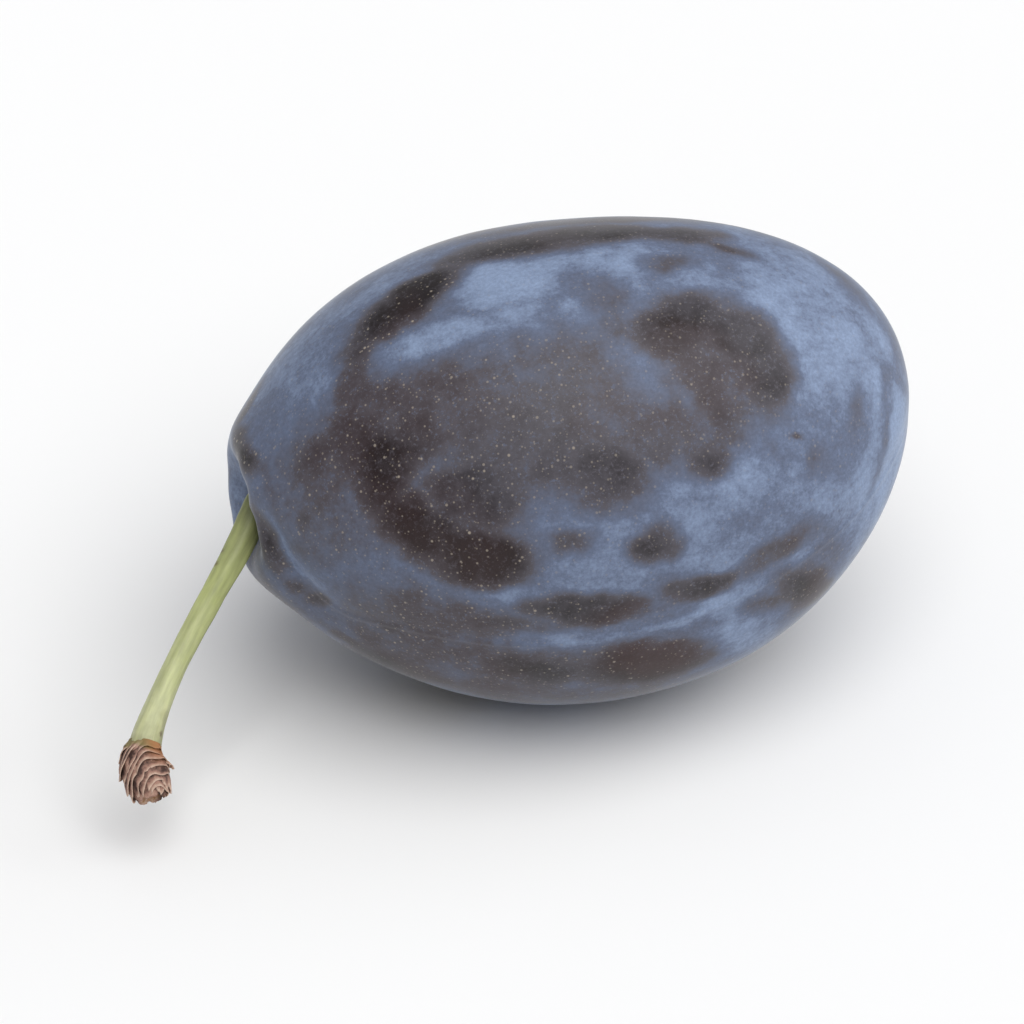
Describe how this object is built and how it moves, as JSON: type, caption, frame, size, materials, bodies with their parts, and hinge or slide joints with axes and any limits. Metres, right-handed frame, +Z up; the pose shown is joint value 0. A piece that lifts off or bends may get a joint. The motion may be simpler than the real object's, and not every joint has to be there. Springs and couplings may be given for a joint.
{
  "type": "plum",
  "caption": "Ripe blue prune plum with its green stem and woody bud-scale knob, lying on its side on a small flat spot.",
  "frame": {"origin": "on the flat spot that the fruit rests on, right under its middle", "axes": "+X along the fruit towards the blossom end, with the stem at -X; -Y the side that carries the suture; +Z up"},
  "size_m": [0.0622, 0.0356, 0.0347],
  "materials": {
    "plum_skin": "matte",
    "green_stem": "satin",
    "brown_scales": "matte"
  },
  "bodies": {
    "root": {"fruit": "plum_skin", "stem": "green_stem", "bud_scale_knob": "brown_scales"}
  },
  "joints": []
}
